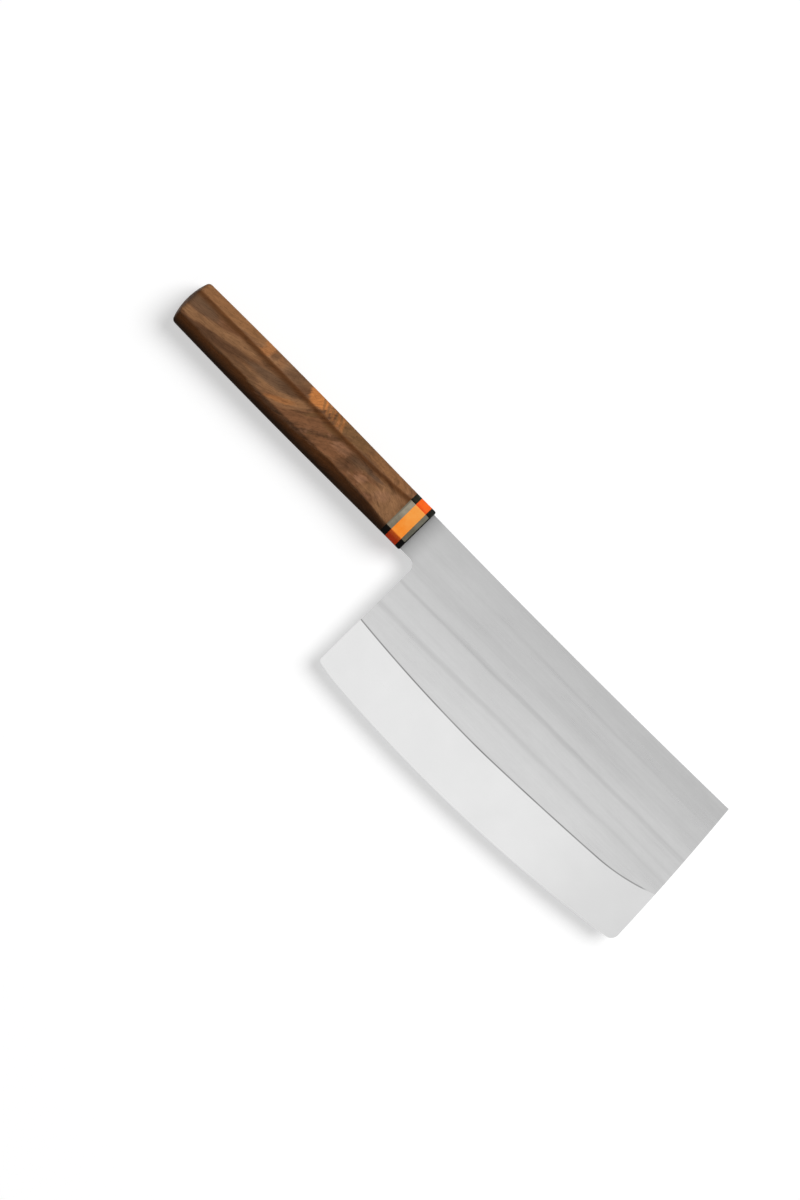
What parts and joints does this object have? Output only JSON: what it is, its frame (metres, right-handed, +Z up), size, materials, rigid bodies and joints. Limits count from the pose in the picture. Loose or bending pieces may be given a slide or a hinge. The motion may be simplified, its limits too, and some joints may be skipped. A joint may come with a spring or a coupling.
{
  "type": "cleaver",
  "caption": "Wide-bladed kitchen cleaver: a tall, flat steel blade with a broad ground edge, and an octagonal wooden handle with dark and orange rings on a hidden tang.",
  "frame": {"origin": "middle of the flat underside of the wooden handle body, which is the side the knife lies on", "axes": "+X from the butt of the handle to the tip of the blade, -Y towards the cutting edge, +Z up from the side it lies on"},
  "size_m": [0.3253, 0.0847, 0.02],
  "materials": {
    "blade_steel": "satin flats with faint lengthwise rolling streaks, finer and brighter on the broad grind",
    "handle_wood": "oiled walnut with swirling grain, satin",
    "dark_ring": "polished near-black laminate",
    "orange_ring": "polished orange laminate",
    "dowel_wood": "plain sawn hardwood, hidden",
    "adhesive": "cured adhesive, hidden"
  },
  "bodies": {
    "root": {"blade": "blade_steel", "handle_body": "handle_wood", "rear_liner": "dark_ring", "orange_spacer": "orange_ring", "front_ring": "dark_ring", "tang_dowel": "dowel_wood", "tang_bedding": "adhesive"}
  },
  "joints": []
}
